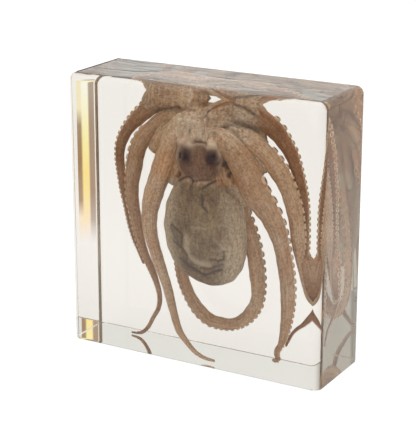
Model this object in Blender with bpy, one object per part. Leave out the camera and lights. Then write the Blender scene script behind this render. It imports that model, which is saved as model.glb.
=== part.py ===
"""A small octopus cast in a clear resin block, standing on its edge.

The block is parted on the upright plane y = 0 into a front and a back half.
Each half has its side of the snug pocket that holds the octopus. The octopus
grew as one piece and is one solid: mantle, head, web and eight arms.

Frame: z up, the block rests on z = 0, x runs along its width, and the front
face, which shows the animal's back, looks towards -y. Units: metres.
"""
import math

import bmesh
import bpy
from mathutils import Vector

MM = 0.001

# Driving dimensions of the casting
BLOCK_WIDTH = 160 * MM
BLOCK_HEIGHT = 160 * MM
BLOCK_DEPTH = 52 * MM
EDGE_RADIUS = 5.3 * MM
EDGE_STEPS = 3
PARTING_GAP = 0.3 * MM

# Driving dimensions of the octopus and its pocket
ARM_SIDES = 7
SUCKER_TURN = math.radians(35)      # how far the suckers face the back
SUCKER_MIN_RADIUS = 2.4 * MM        # thinner stretches of arm are smooth
BARE_STEP = 7.0 * MM                # ring spacing on those stretches
ROOT_RINGS = 4                      # rings with no suckers where an arm leaves the head
POCKET_CLEARANCE = 1.0 * MM
WELD = 0.01 * MM                    # vertices this close are one

# Routes of the arms from the head to the tip, as (x, y, z, radius) in mm.
# Each was chosen by eye along the middle of the arm. The sign says on which
# side of the route the suckers are: +1 on its left and -1 on its right, as
# seen from the front.
ARMS = {
    "left_first": (-1, [
        (-6, 3, 138, 8), (-18, 5, 145, 8), (-29, 6, 146, 7), (-37, 6.5, 141, 6),
        (-45.5, 7, 133.5, 5), (-53, 7, 125, 4.4), (-57.5, 7, 116, 4),
        (-59, 7, 108, 3.8), (-57.5, 7, 100, 3.6), (-55.5, 7, 92, 3.4),
        (-53, 7.5, 84, 3.1), (-51, 7.5, 75, 2.8), (-50, 8, 66, 2.4),
        (-48, 8, 60, 2), (-45.5, 8, 54, 1.5), (-43.5, 8, 48.5, 0.9)]),
    "left_second": (-1, [
        (-5, 2, 134, 8), (-17, 3, 138, 7), (-26, 3, 135, 6), (-35, 3, 129, 5.4),
        (-41, 3, 122, 5.1), (-44.5, 3, 114, 5.2), (-47, 3, 104.5, 5.2),
        (-48.5, 2.5, 96, 4.8), (-48.5, 2.5, 85.5, 4.3), (-46.5, 2.5, 76, 3.8),
        (-44.5, 2.5, 65.5, 3.3), (-41, 2.5, 56, 2.8), (-37, 2.5, 48, 2.4),
        (-33, 2, 40, 2), (-30.7, 2, 31.5, 1.6), (-31.5, 2, 23.5, 1.4),
        (-35, 2, 17, 1.3), (-39, 2, 10, 1.2), (-43.5, 2, 5.5, 1), (-50, 2, 5, 0.7)]),
    "left_third": (-1, [
        (-2, 0, 134, 8), (-10, -2, 135, 7.6), (-17, -4, 128, 7.4),
        (-21.5, -4.5, 119, 7.3), (-25.5, -4.5, 110, 7.2), (-30, -5, 99.5, 6.9),
        (-33.5, -5, 90, 6.6), (-35, -5.5, 81, 5.7), (-34, -6, 70, 4.7), (-29, -6, 55.5, 3.8),
        (-22.5, -7, 40.5, 3.1), (-18, -9, 28, 2.7), (-13, -12, 17, 2.3),
        (-7, -15, 11.5, 1.8), (-0.5, -17, 7, 1.4), (5.5, -17, 4.5, 1.1),
        (12, -17, 4, 0.8)]),
    "left_fourth": (-1, [
        (-3, 5, 136, 7), (-13, 8, 134, 6.5), (-20, 11, 122, 6),
        (-20, 13, 106, 5.4), (-17, 16, 92, 4.8), (-11, 18, 80, 4.3),
        (-2, 18.5, 71, 3.8), (9, 18, 68, 3.3), (17, 16.5, 74, 2.8),
        (17, 16, 83, 2.3), (10, 17.5, 88, 1.7), (4, 18.5, 84, 1)]),
    "right_first": (1, [
        (2, 3, 137, 8), (17.5, 4, 144, 7.6), (27, 4, 145, 7.4), (34.5, 4, 142, 7),
        (40.5, 4, 137.5, 6.2), (45.5, 4, 134, 5.5), (50, 4, 129, 4.7),
        (54, 4, 124, 4.4), (56.5, 4, 119, 4.1), (59, 4, 114, 3.8),
        (60.5, 4, 108, 3.7), (61.8, 4, 102, 3.4), (62.2, 4, 92, 3.2),
        (62.5, 4, 82, 3.2), (64, 4, 73.5, 3.5), (66, 4, 65.5, 4.2),
        (68, 4, 57.5, 4.2), (69, 4, 51, 4), (68.5, 3.5, 44.5, 3.6),
        (66, 3, 37, 3), (62, 1, 31.5, 2.4), (57, -1, 26, 1.8),
        (53, -3, 21.5, 1.4), (51, -5, 17, 1.1)]),
    "right_second": (1, [
        (3, 0, 132, 8), (12, 0, 133, 7), (20, 0, 132, 7), (28.5, 0, 129, 7.2),
        (36.5, 0, 125, 7.4), (43, 0, 120, 7.1), (48, 0, 114, 6.6),
        (51.2, 0, 108, 6.1), (54, 0, 101, 5.8), (56, 0, 95, 5.5),
        (57.3, 0, 88.5, 5.1), (58.6, 0, 81, 4.8), (59.4, 0, 74, 4.1),
        (59.5, 0, 67, 2.6), (60, 0, 58, 1.5), (62, 0, 51.5, 1.4),
        (65, 0, 47, 1.3), (68, 0, 45, 1.3), (71.5, 1, 46, 1)]),
    "right_third": (1, [
        (5, -2, 128, 8), (13.5, -5, 128.5, 7.6), (23, -6, 123.5, 8.8),
        (30, -6, 114, 9.4), (35, -6, 104, 9.4), (41, -6, 97, 9.1),
        (46, -6, 91, 8.1), (49, -6, 85.5, 6.8), (51, -6, 79, 5.8),
        (52.5, -6, 73.5, 5.3), (53.5, -6, 68, 5), (54, -6, 62.5, 4.8),
        (53.5, -6, 51, 4.2), (52.7, -6, 42, 3.7), (52, -6, 35, 3.3),
        (51.5, -6, 26.5, 2.6), (50, -6, 19, 2.3), (49, -6, 14.5, 2.3),
        (47, -6, 9.5, 1)]),
    "right_fourth": (1, [
        (4, 4, 128, 6.5), (9, 6, 113, 6), (14, 7, 101, 6.2), (21.5, 8, 87.5, 6.3),
        (26.5, 8, 77, 6.3), (30, 8, 66.5, 6.1), (31.8, 8, 54.5, 5.6),
        (32.6, 8, 44.5, 4.9), (31.3, 8, 36.5, 4.5), (27, 8, 30, 4.3),
        (22, 8.5, 25, 3.9), (15.5, 9, 21.5, 3.5), (9, 9, 20.6, 3.8),
        (1, 9, 21.4, 4.3), (-5.5, 9.5, 25, 4.6), (-10.8, 10, 30.7, 4.6),
        (-15.3, 10, 38.3, 4.3), (-18.8, 10.5, 47, 4), (-20, 11, 57, 3.4),
        (-17, 12, 67, 2.6), (-12, 13, 74, 1.6)]),
}

# Skin between the arms where they leave the head, as (x, y, z, radius) in mm
WEBS = [
    [(-8, 3, 143.5, 9.5), (-20, 4, 144.5, 9.5), (-33, 5.5, 146, 7)],
    [(-14, 1, 131, 8), (-1, 2, 136, 9), (8, 2, 136.5, 9), (17, 1, 133, 8)],
    [(19, 3, 143.5, 9.5), (28, 4, 144, 9), (36, 4, 141, 7)],
    [(-8, 0, 132, 8), (-21, 0, 129, 7), (-31, 0, 121, 5)],
    [(-6, -2, 128, 8), (-14, -3, 118, 6), (-19, -2, 107, 4)],
    [(8, -1, 132, 8), (24, 0, 133, 7), (34, 1, 132, 5)],
    [(10, -3, 126, 8), (24, -3, 121, 7), (37, -3, 117, 5)],
    [(8, 0, 124, 8), (14, 0, 112, 7), (20, 1, 101, 5)],
]

# Mantle outline, as (z, half width, middle x) in mm from its tip up to the neck
MANTLE = [
    (46, 8, 4), (49.5, 15.3, 3.2), (54.5, 20.3, 2.2), (61, 24, 1.6), (68.5, 26, 1.4),
    (77, 26.3, 1), (86, 25.2, 0.8), (93.5, 23, 1.2), (99.5, 19.6, 1.2), (105, 15.6, 0.4),
    (110, 13.2, -0.6), (116, 13.8, -1.2), (121.5, 13.2, -1.2), (126.5, 10, -1),
]
MANTLE_TIP = (5, 44.2)               # x and z
HEAD_TOP = (-1, 130)                 # x and z
MANTLE_MIDDLE_Y = -2.0
MANTLE_FLATNESS = 0.68               # depth over width of the mantle
HEAD_FLATNESS = 0.86
NECK_Z = 107
MANTLE_SIDES = 14
MANTLE_POCKET_SIDES = 10

# Eyes and the lids over them, as (x, y, z, radius) in mm
EYES = [
    (-9.3, -11, 118, 4.8), (6.6, -11, 120, 4.8),
    (-9.3, -11.5, 124, 3.4), (6.9, -11.5, 125.6, 3.4),
]
EYE_SIDES = 8
EYE_RINGS = 5

RESIN_COLOUR = (0.93, 0.95, 0.93, 1)
SKIN_COLOUR = (0.36, 0.23, 0.15, 1)


def clear_scene():
    for old in list(bpy.data.objects):
        bpy.data.objects.remove(old)


def make_material(name, colour, roughness, transmission=0.0):
    material = bpy.data.materials.new(name)
    material.use_nodes = True
    shader = material.node_tree.nodes["Principled BSDF"]
    shader.inputs["Base Color"].default_value = colour
    shader.inputs["Roughness"].default_value = roughness
    shader.inputs["Transmission Weight"].default_value = transmission
    return material


def object_from(bm, name, material):
    """A linked object from a bmesh, with its faces pointing outwards."""
    bmesh.ops.recalc_face_normals(bm, faces=bm.faces)
    mesh = bpy.data.meshes.new(name)
    bm.to_mesh(mesh)
    bm.free()
    mesh.materials.append(material)
    obj = bpy.data.objects.new(name, mesh)
    bpy.context.collection.objects.link(obj)
    return obj


def skin_rings(bm, rings, start, end):
    """Faces between successive rings of vertices, closed by a fan at each end."""
    rows = [[bm.verts.new(p) for p in ring] for ring in rings]
    count = len(rows[0])
    for low, high in zip(rows, rows[1:]):
        for k in range(count):
            bm.faces.new((low[k], low[(k + 1) % count], high[(k + 1) % count], high[k]))
    for row, tip in ((rows[0], bm.verts.new(start)), (rows[-1], bm.verts.new(end))):
        for k in range(count):
            bm.faces.new((row[k], row[(k + 1) % count], tip))


def middle_of(ring):
    return sum(ring, Vector()) / len(ring)


def smooth_route(points, steps=12):
    """Closely spaced (position, radius) samples of a Catmull-Rom curve."""
    rows = [Vector((x * MM, y * MM, z * MM, r * MM)) for x, y, z, r in points]
    rows = [2 * rows[0] - rows[1]] + rows + [2 * rows[-1] - rows[-2]]
    samples = []
    for a, b, c, d in zip(rows, rows[1:], rows[2:], rows[3:]):
        for i in range(steps):
            t = i / steps
            samples.append(0.5 * (2 * b + (c - a) * t + (2 * a - 5 * b + 4 * c - d) * t * t
                                  + (3 * b - a - 3 * c + d) * t ** 3))
    samples.append(rows[-2])
    return [(s.xyz, max(s.w, 0.5 * MM)) for s in samples]


def stations(samples, spacing):
    """(position, tangent, radius) along the samples, spacing(radius) apart."""
    picked = []
    travelled, wanted = 0.0, 0.0
    for i, (place, radius) in enumerate(samples):
        if i:
            travelled += (place - samples[i - 1][0]).length
        if travelled >= wanted or i == len(samples) - 1:
            before = samples[max(i - 1, 0)][0]
            after = samples[min(i + 1, len(samples) - 1)][0]
            picked.append((place, (after - before).normalized(), radius))
            wanted = travelled + spacing(radius)
    return picked


def sucker_pitch(radius):
    return 2.9 * MM + 0.95 * radius


def sucker_height(radius):
    return 0.9 * MM + 0.15 * radius if radius > SUCKER_MIN_RADIUS else 0.0


def arm_step(radius):
    """Half a sucker pitch, so that one ring is a sucker and the next a notch."""
    return 0.5 * sucker_pitch(radius) if radius > SUCKER_MIN_RADIUS else BARE_STEP


def sweep_arm(points, side):
    """An arm with two staggered rows of suckers, raised ring by ring."""
    bm = bmesh.new()
    rings = []
    route = stations(smooth_route(points), arm_step)
    for i, (place, tangent, radius) in enumerate(route):
        outward = side * tangent.cross(Vector((0, 1, 0))).normalized()
        across = tangent.cross(outward).normalized()
        if across.y < 0:
            across = -across
        facing = math.cos(SUCKER_TURN) * outward + math.sin(SUCKER_TURN) * across
        beside = tangent.cross(facing).normalized()
        sucker_corner = 1 if i % 2 == 0 else ARM_SIDES - 1
        ring = []
        for k in range(ARM_SIDES):
            turn = 2 * math.pi * k / ARM_SIDES
            raised = k == sucker_corner and i >= ROOT_RINGS
            reach = radius + (sucker_height(radius) if raised else 0.0)
            ring.append(place + reach * (math.cos(turn) * facing + math.sin(turn) * beside))
        rings.append(ring)
    first, last = route[0], route[-1]
    skin_rings(bm, rings, first[0] - first[1] * first[2] * 0.6, last[0] + last[1] * last[2])
    return bm


def sweep_web(points):
    """A smooth round stretch of skin, as thick as its route says."""
    bm = bmesh.new()
    rings = []
    route = stations(smooth_route(points), lambda radius: radius)
    for place, tangent, radius in route:
        beside = tangent.cross(Vector((0, 1, 0))).normalized()
        across = tangent.cross(beside).normalized()
        rings.append([
            place + radius * (math.cos(turn) * beside + math.sin(turn) * across)
            for turn in (2 * math.pi * k / ARM_SIDES for k in range(ARM_SIDES))])
    first, last = route[0], route[-1]
    skin_rings(bm, rings, first[0] - first[1] * first[2] * 0.5, last[0] + last[1] * last[2] * 0.5)
    return bm


def body_ring(z, half_width, middle_x, sides, spare=0.0):
    """One level ring of the mantle or the head."""
    flatness = MANTLE_FLATNESS if z < NECK_Z else HEAD_FLATNESS
    ring = []
    for k in range(sides):
        turn = 2 * math.pi * k / sides
        ring.append(Vector((
            middle_x * MM + (half_width * MM + spare) * math.cos(turn),
            MANTLE_MIDDLE_Y * MM + (half_width * flatness * MM + spare) * math.sin(turn),
            z * MM)))
    return ring


def mantle_and_head(sides, rows, spare=0.0):
    bm = bmesh.new()
    rings = [body_ring(*row, sides, spare) for row in rows]
    tip = Vector((MANTLE_TIP[0] * MM, MANTLE_MIDDLE_Y * MM, MANTLE_TIP[1] * MM - spare))
    top = Vector((HEAD_TOP[0] * MM, MANTLE_MIDDLE_Y * MM, HEAD_TOP[1] * MM + spare))
    skin_rings(bm, rings, tip, top)
    return bm


def ball(x, y, z, radius):
    bm = bmesh.new()
    bmesh.ops.create_uvsphere(bm, u_segments=EYE_SIDES, v_segments=EYE_RINGS, radius=radius * MM)
    bmesh.ops.translate(bm, verts=bm.verts, vec=(x * MM, y * MM, z * MM))
    return bm


def remove_folds(bm):
    """Takes out faces that lie back to back on the same three vertices."""
    stacks = {}
    for face in bm.faces:
        stacks.setdefault(frozenset(face.verts), []).append(face)
    folds = [face for stack in stacks.values() if len(stack) > 1 for face in stack]
    bmesh.ops.delete(bm, geom=folds, context="FACES")


def keep_outer_shell(bm):
    """Fills the small hollows that a union can close off."""
    shells, unseen = [], set(bm.verts)
    while unseen:
        shell, edge_of_search = set(), [unseen.pop()]
        while edge_of_search:
            vert = edge_of_search.pop()
            shell.add(vert)
            for edge in vert.link_edges:
                other = edge.other_vert(vert)
                if other in unseen:
                    unseen.discard(other)
                    edge_of_search.append(other)
        shells.append(list(shell))
    shells.sort(key=len)
    for shell in shells[:-1]:
        bmesh.ops.delete(bm, geom=shell, context="VERTS")


def combine(target, tools, operation):
    """Applies one Boolean of all the tools to the target, then tidies its seams."""
    group = bpy.data.collections.new("tools")
    for tool in tools:
        group.objects.link(tool)
    modifier = target.modifiers.new(operation.title(), "BOOLEAN")
    modifier.operation = operation
    modifier.solver = "EXACT"
    modifier.operand_type = "COLLECTION"
    modifier.collection = group
    modifier.use_self = True
    view = bpy.context.evaluated_depsgraph_get()
    target.data = bpy.data.meshes.new_from_object(target.evaluated_get(view))
    target.modifiers.clear()
    bpy.data.collections.remove(group)
    for tool in tools:
        bpy.data.objects.remove(tool)

    bm = bmesh.new()
    bm.from_mesh(target.data)
    bmesh.ops.remove_doubles(bm, verts=bm.verts, dist=WELD)
    bmesh.ops.triangulate(bm, faces=bm.faces)
    bmesh.ops.dissolve_degenerate(bm, edges=bm.edges, dist=WELD)
    remove_folds(bm)
    keep_outer_shell(bm)
    bm.to_mesh(target.data)
    bm.free()


def build_octopus(skin):
    octopus = object_from(mantle_and_head(MANTLE_SIDES, MANTLE), "octopus", skin)
    limbs = [object_from(sweep_web(route), "web", skin) for route in WEBS]
    limbs += [object_from(sweep_arm(route, side), name, skin)
              for name, (side, route) in ARMS.items()]
    limbs += [object_from(ball(*eye), "eye", skin) for eye in EYES]
    combine(octopus, limbs, "UNION")
    return octopus


def pocket_step(radius):
    return 5 * MM + radius


def pocket_tube(points):
    """The room for one arm: as wide as the arm, and open to the parting plane."""
    bm = bmesh.new()
    rings = []
    deep_side = 1 if sum(y for _, y, _, _ in points) > 0 else -1
    route = stations(smooth_route(points), pocket_step)
    for i, (place, tangent, radius) in enumerate(route):
        beside = tangent.cross(Vector((0, 1, 0))).normalized()
        room = radius + sucker_height(radius) + POCKET_CLEARANCE
        if i == 0:
            place = place - room * tangent
        if i == len(route) - 1:
            place = place + room * tangent
        floor = deep_side * max(deep_side * place.y + room, 0)
        mouth = -deep_side * max(room - deep_side * place.y, 0)
        shoulder = floor - deep_side * 0.6 * room
        section = [
            (room, mouth), (room, shoulder), (0.45 * room, floor),
            (-0.45 * room, floor), (-room, shoulder), (-room, mouth)]
        rings.append([Vector((place.x, y, place.z)) + beside * reach for reach, y in section])
    skin_rings(bm, rings, middle_of(rings[0]), middle_of(rings[-1]))
    return bm


def make_pockets(resin):
    """The cutters for the octopus's hollow, a little larger than it all round."""
    routes = [route for _, route in ARMS.values()] + WEBS
    pockets = [object_from(pocket_tube(route), "pocket", resin) for route in routes]
    rows = MANTLE[:1] + MANTLE[1::2]
    body = mantle_and_head(MANTLE_POCKET_SIDES, rows, 2.5 * POCKET_CLEARANCE)
    pockets.append(object_from(body, "pocket", resin))
    pockets += [object_from(ball(x, y, z, r + 1), "pocket", resin) for x, y, z, r in EYES]
    return pockets


def rounded_block():
    bm = bmesh.new()
    bmesh.ops.create_cube(bm, size=1)
    bmesh.ops.scale(bm, verts=bm.verts, vec=(BLOCK_WIDTH, BLOCK_DEPTH, BLOCK_HEIGHT))
    bmesh.ops.translate(bm, verts=bm.verts, vec=(0, 0, BLOCK_HEIGHT / 2))
    bmesh.ops.bevel(
        bm, geom=bm.edges[:], offset=EDGE_RADIUS, offset_type="OFFSET",
        segments=EDGE_STEPS, profile=0.5, affect="EDGES")
    return bm


def block_half(name, side, resin):
    """The part of the block on one side of y = 0: side -1 is the front."""
    bm = rounded_block()
    cut = bmesh.ops.bisect_plane(
        bm, geom=bm.verts[:] + bm.edges[:] + bm.faces[:],
        plane_co=(0, side * PARTING_GAP / 2, 0), plane_no=(0, -side, 0), clear_outer=True)
    rim = [item for item in cut["geom_cut"] if isinstance(item, bmesh.types.BMEdge)]
    bmesh.ops.contextual_create(bm, geom=rim)
    return object_from(bm, name, resin)


def build_block(resin):
    halves = [block_half("resin_front_half", -1, resin), block_half("resin_back_half", 1, resin)]
    for half in halves:
        combine(half, make_pockets(resin), "DIFFERENCE")
    return halves


def shade(obj, angle):
    obj.data.shade_smooth()
    obj.data.set_sharp_from_angle(angle=angle)


clear_scene()
resin_material = make_material("cast polyester resin", RESIN_COLOUR, 0.02, 1.0)
skin_material = make_material("preserved octopus skin", SKIN_COLOUR, 0.55)
octopus = build_octopus(skin_material)
shade(octopus, math.radians(60))
for half in build_block(resin_material):
    shade(half, math.radians(35))
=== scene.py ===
"""A preserved octopus in a clear resin block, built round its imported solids."""

import math

import bpy
import bmesh
import numpy as np
from mathutils import Matrix, Vector
from mathutils.kdtree import KDTree


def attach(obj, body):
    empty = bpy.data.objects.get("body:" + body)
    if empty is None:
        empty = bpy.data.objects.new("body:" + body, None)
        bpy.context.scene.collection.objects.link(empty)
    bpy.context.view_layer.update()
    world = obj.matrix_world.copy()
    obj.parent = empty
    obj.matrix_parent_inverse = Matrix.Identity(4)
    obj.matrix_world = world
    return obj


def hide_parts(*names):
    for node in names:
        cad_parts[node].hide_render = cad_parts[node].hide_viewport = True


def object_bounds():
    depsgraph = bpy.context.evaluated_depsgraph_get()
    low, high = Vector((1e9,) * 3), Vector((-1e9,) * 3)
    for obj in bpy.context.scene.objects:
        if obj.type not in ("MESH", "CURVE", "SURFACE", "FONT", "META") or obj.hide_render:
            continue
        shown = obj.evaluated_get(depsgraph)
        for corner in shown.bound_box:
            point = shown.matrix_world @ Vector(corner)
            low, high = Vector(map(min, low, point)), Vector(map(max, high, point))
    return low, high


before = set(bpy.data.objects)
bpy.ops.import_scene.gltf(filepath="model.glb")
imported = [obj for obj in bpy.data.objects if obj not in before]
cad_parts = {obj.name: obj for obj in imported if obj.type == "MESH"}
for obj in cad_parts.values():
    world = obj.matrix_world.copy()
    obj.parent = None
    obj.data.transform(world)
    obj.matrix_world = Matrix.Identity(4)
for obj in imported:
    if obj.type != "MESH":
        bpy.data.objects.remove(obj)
solids_low, solids_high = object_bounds()

# The photograph was taken with a long lens from the block's right front, a little above it.
# The lens is long enough for the block's upright edges to stay nearly parallel.
MM = 0.001
camera_turn = math.radians(29.7)
camera_rise = math.radians(17.2)
camera_distance = 812 * MM
look_at = Vector((11, -26, 90.2)) * MM

bpy.ops.object.camera_add()
camera = bpy.context.object
camera.data.lens = 124.8
camera.data.sensor_width = 36
camera_back = Vector((
    math.sin(camera_turn) * math.cos(camera_rise),
    -math.cos(camera_turn) * math.cos(camera_rise),
    math.sin(camera_rise)))
camera.location = look_at + camera_back * camera_distance
camera.rotation_euler = (-camera_back).to_track_quat("-Z", "Y").to_euler()
camera.data.clip_start = 10 * MM
camera.data.clip_end = 50
bpy.context.scene.camera = camera


# The eight arms leave a ring round the mouth, at the top, and hang down round the mantle, with
# their suckers outwards. Fixed in formalin, they keep round sides, a groove between the two rows
# of suckers and a low fold of skin along each edge. Each is swept along a given route.
ARM_SIDES = 28               # vertices in each ring of an arm
ARM_SET_BACK = 0.06          # how far an arm lies behind its route, over its radius
ARM_SLIMMING = 0.93          # its radius over the route's, to leave room for the suckers
TANGENT_REACH = 6            # samples on each side that give an arm's direction
PATTERN_SHIFT = 211          # mm from one arm to the next in the skin's pattern
PATTERN_RADIUS = 4           # mm, the radius of every arm in the skin's pattern

# name: (side of the suckers, how far they face the back in degrees, route in mm with radius)
arm_routes = {
    "left_first": (-1, 12, [
        (-6, 3, 139.5, 8), (-18, 5, 146.5, 8), (-29, 6, 147, 7), (-37, 6.5, 141.5, 5.6),
        (-46, 7, 134, 4.7), (-53.1, 7, 126, 3.9), (-57.6, 7, 117, 3.4),
        (-58.5, 7, 108.5, 3.1), (-57.6, 7, 100.5, 2.9), (-56, 7, 91, 2.9),
        (-53.6, 7.5, 80, 2.7), (-51.5, 7.5, 70, 2.5), (-49, 8, 61, 2.1),
        (-46.2, 8, 54, 1.5), (-43.5, 8, 47, 0.9)]),
    "left_second": (-1, 34, [
        (-5, 2, 135.2, 8), (-17, 3, 139.2, 7), (-26, 3, 136, 6), (-35, 3, 129.5, 5.2),
        (-41.5, 3, 122.5, 5.3), (-45.2, 3, 114.5, 5.5), (-47.4, 3, 105, 5.3),
        (-48.5, 2.5, 96.3, 4.6), (-48.5, 2.5, 85.6, 4.2), (-46.5, 2.5, 76, 3.8),
        (-44.5, 2.5, 65.2, 3.3), (-41, 2.5, 55.5, 2.8), (-37, 2.5, 47.3, 2.4),
        (-33, 2, 39.2, 2), (-30.7, 2.5, 30.5, 1.6), (-32, 4, 22, 1.4),
        (-36.7, 7, 14.5, 1.25), (-41.5, 9.5, 6.8, 1.15), (-47, 11.5, 2.1, 1),
        (-53.6, 12, 1, 0.6)]),
    "left_third": (-1, 70, [
        (-2, 0, 135.2, 8), (-10, -2, 136.2, 7.6), (-17, -4, 129, 7.4),
        (-21, -4.5, 119.8, 7.1), (-24.7, -4.5, 110.6, 6.8), (-28.8, -5, 100, 6.2),
        (-32.2, -5, 90.2, 5.8), (-34, -5.5, 81, 5.3), (-33.6, -6, 70, 4.6),
        (-29, -6, 55, 3.8), (-22.5, -7, 39.6, 3.1), (-18, -9, 26.8, 2.7),
        (-13, -12, 15.5, 2.3), (-7, -15, 9.9, 1.8), (-0.5, -17, 5.2, 1.4),
        (5.5, -17, 2.8, 1.1), (12, -17, 2.2, 0.8)]),
    "left_fourth": (-1, 80, [
        (-3, 5, 137.3, 7), (-13, 8, 135.2, 6.5), (-20, 11, 122.9, 6),
        (-20, 13, 106.5, 5.4), (-17, 16, 92.2, 4.8), (-11, 18, 80, 4.3),
        (-2, 18.5, 70.7, 3.8), (9, 18, 67.6, 3.3), (17, 16.5, 73.8, 2.8),
        (17, 16, 83, 2.3), (10, 17.5, 88.2, 1.7), (4, 18.5, 84, 1)]),
    "right_first": (1, 38, [
        (2, 3, 138.3, 8), (17.5, 4, 145.6, 7.6), (27, 4, 145.6, 7.2), (34.5, 4, 142.2, 6.6),
        (41, 4, 138.8, 6.1), (45.6, 4, 134.6, 5.3), (49.4, 4, 129.8, 4.6),
        (52.5, 4, 125, 4.3), (54.6, 4, 120, 3.9), (56.4, 4, 115, 3.6),
        (57.9, 4, 108.8, 3.7), (59.2, 4, 102.6, 3.7), (60.1, 4, 92.3, 3.8),
        (60.4, 4, 82, 3.8), (60.5, 4, 74.5, 3.6), (60.8, 4, 69.5, 3.4), (63.2, 4, 65.3, 5.4),
        (65.2, 4, 57, 5.4), (66.6, 4, 50.5, 4.7), (68.6, 4, 46, 3.2), (69.8, 3, 42.3, 2.4),
        (69, 1.5, 38.4, 2.1), (66, 0.5, 34.4, 1.8), (62.4, 0, 30.3, 1.3),
        (58.7, 0, 27.2, 1), (55.7, 0, 23.6, 0.9), (53.4, 0, 19, 0.9), (52.2, 0, 15.8, 0.7)]),
    "right_second": (1, 46, [
        (3, 0, 133.2, 8), (12, 0, 134.3, 7), (20, 0, 133.3, 7), (28.5, 0, 130, 6.9),
        (36, 0, 125.4, 6.5), (42.2, 0, 120.2, 6.2), (47.4, 0, 114.2, 5.9),
        (51, 0, 108.2, 5.6), (54, 0, 101.4, 5.4), (56, 0, 95.2, 5.2),
        (57.3, 0, 88.7, 4.9), (58.3, 0, 81, 4.6), (58.8, 0, 75, 3.9), (58.9, 0, 69.5, 2.7),
        (59.3, 0, 64.5, 1.6), (60.5, 0, 59, 1.1), (62.5, 0, 51.9, 1),
        (65, 0, 46, 1), (69, 0, 43, 1), (73, 0, 43.5, 0.9)]),
    "right_third": (1, 44, [
        (5, -2, 129.1, 8), (13.5, -5, 129.7, 7.6), (22, -6, 124, 8.3), (28.2, -6, 114.5, 8.6),
        (33.2, -6, 103.8, 8.6), (38.2, -6, 97.6, 8.1), (43, -6, 91.6, 7.1),
        (47, -6, 84.7, 6.2), (50.2, -6, 76, 5.3), (52.4, -6, 66.5, 4.9),
        (53.9, -6, 57, 4.9), (54.6, -6, 47.5, 4.6), (54.4, -6, 38.5, 4.1),
        (53.6, -6, 30, 3.4), (52.3, -6, 22.5, 2.6), (51, -7, 17.5, 2),
        (49.4, -8.5, 14.4, 1.8), (49.4, -9.5, 11.8, 1.7), (50.6, -10, 10.2, 1.5),
        (49.4, -10.5, 8.8, 1.3), (47.3, -10.5, 8.6, 0.9)]),
    "right_fourth": (1, 40, [
        (4, 4, 129.1, 6.5), (9, 6, 113.8, 6), (14, 7, 101.5, 6), (20.6, 8, 87.6, 5.8),
        (25.4, 8, 77, 5.6), (29.2, 8, 66, 5.3), (31.2, 8, 54, 5.1),
        (32, 8, 43.5, 4.5), (30.8, 8, 35.3, 4.2), (27, 8, 28.6, 4.1),
        (22, 8.5, 23.5, 3.8), (15.5, 9, 19.9, 3.5), (9, 9, 19.1, 3.8),
        (1, 9, 19.9, 4.2), (-5.7, 9.5, 23.5, 4.3), (-11.2, 10, 29.2, 4.1),
        (-15.7, 10, 37.1, 3.9), (-19, 10.5, 46.2, 3.7), (-20, 11, 56.5, 3.3),
        (-17, 12, 66.7, 2.6), (-12, 13, 73.8, 1.6)]),
}

# How far each arm's skin is from the browner of the two tones below to the paler one.
arm_pale = {
    "left_first": 0.22, "left_second": 0.5, "left_third": 0.9, "left_fourth": 0.6,
    "right_first": 0.05, "right_second": 0.76, "right_third": 0.62, "right_fourth": 0.97}


def ring_gap(radius):
    """Distance from one ring of an arm's vertices to the next, in mm."""
    return 0.35 + 0.16 * radius


def smooth_route(points, steps=40, least_radius=0.4):
    """Closely spaced (position, radius) samples of a smooth curve through the points, in mm."""
    rows = [Vector(point) for point in points]
    rows = [2 * rows[0] - rows[1]] + rows + [2 * rows[-1] - rows[-2]]
    samples = []
    for a, b, c, d in zip(rows, rows[1:], rows[2:], rows[3:]):
        for i in range(steps):
            t = i / steps
            samples.append(0.5 * (2 * b + (c - a) * t + (2 * a - 5 * b + 4 * c - d) * t * t
                                  + (3 * b - a - 3 * c + d) * t ** 3))
    samples.append(rows[-2])
    return [(sample.xyz, max(sample.w, least_radius)) for sample in samples]


def arm_stations(name, spacing):
    """(distance, position, radius, tangent, facing, beside) along an arm, spacing(radius) apart.

    facing is where the middle of the sucker side looks, and beside lies across it.
    """
    side, turn, points = arm_routes[name]
    samples = smooth_route(points)
    picked = []
    travelled, wanted = 0.0, 0.0
    for i, (place, radius) in enumerate(samples):
        if i:
            travelled += (place - samples[i - 1][0]).length
        if travelled < wanted and i < len(samples) - 1:
            continue
        before = samples[max(i - TANGENT_REACH, 0)][0]
        after = samples[min(i + TANGENT_REACH, len(samples) - 1)][0]
        tangent = (after - before).normalized()
        outward = side * tangent.cross(Vector((0, 1, 0))).normalized()
        across = tangent.cross(outward).normalized()
        if across.y < 0:
            across = -across
        turn_angle = math.radians(turn)
        facing = math.cos(turn_angle) * outward + math.sin(turn_angle) * across
        place = place - ARM_SET_BACK * radius * facing
        beside = tangent.cross(facing)
        picked.append((travelled, place, ARM_SLIMMING * radius, tangent, facing, beside))
        wanted = travelled + spacing(radius)
    return picked


def arm_section(angle, distance, seed):
    """How far the skin is from the arm's middle, over its radius, at an angle from facing.

    Heights are shares of the radius, and places and widths round the arm are in radians.
    """
    off = abs(angle)
    groove = -0.12 * math.exp(-(off / 0.42) ** 2)
    fold = 0.10 * math.exp(-((off - 1.35) / 0.16) ** 2)
    hollow = -0.05 * math.exp(-((off - 1.75) / 0.25) ** 2)
    ripple = 0.022 * math.sin(5 * angle + seed + 0.11 * distance)
    swell = 0.025 * math.sin(0.31 * distance + seed) + 0.02 * math.sin(0.83 * distance + 2 * seed)
    return 1.0 + groove + fold + hollow + ripple + swell


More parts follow.
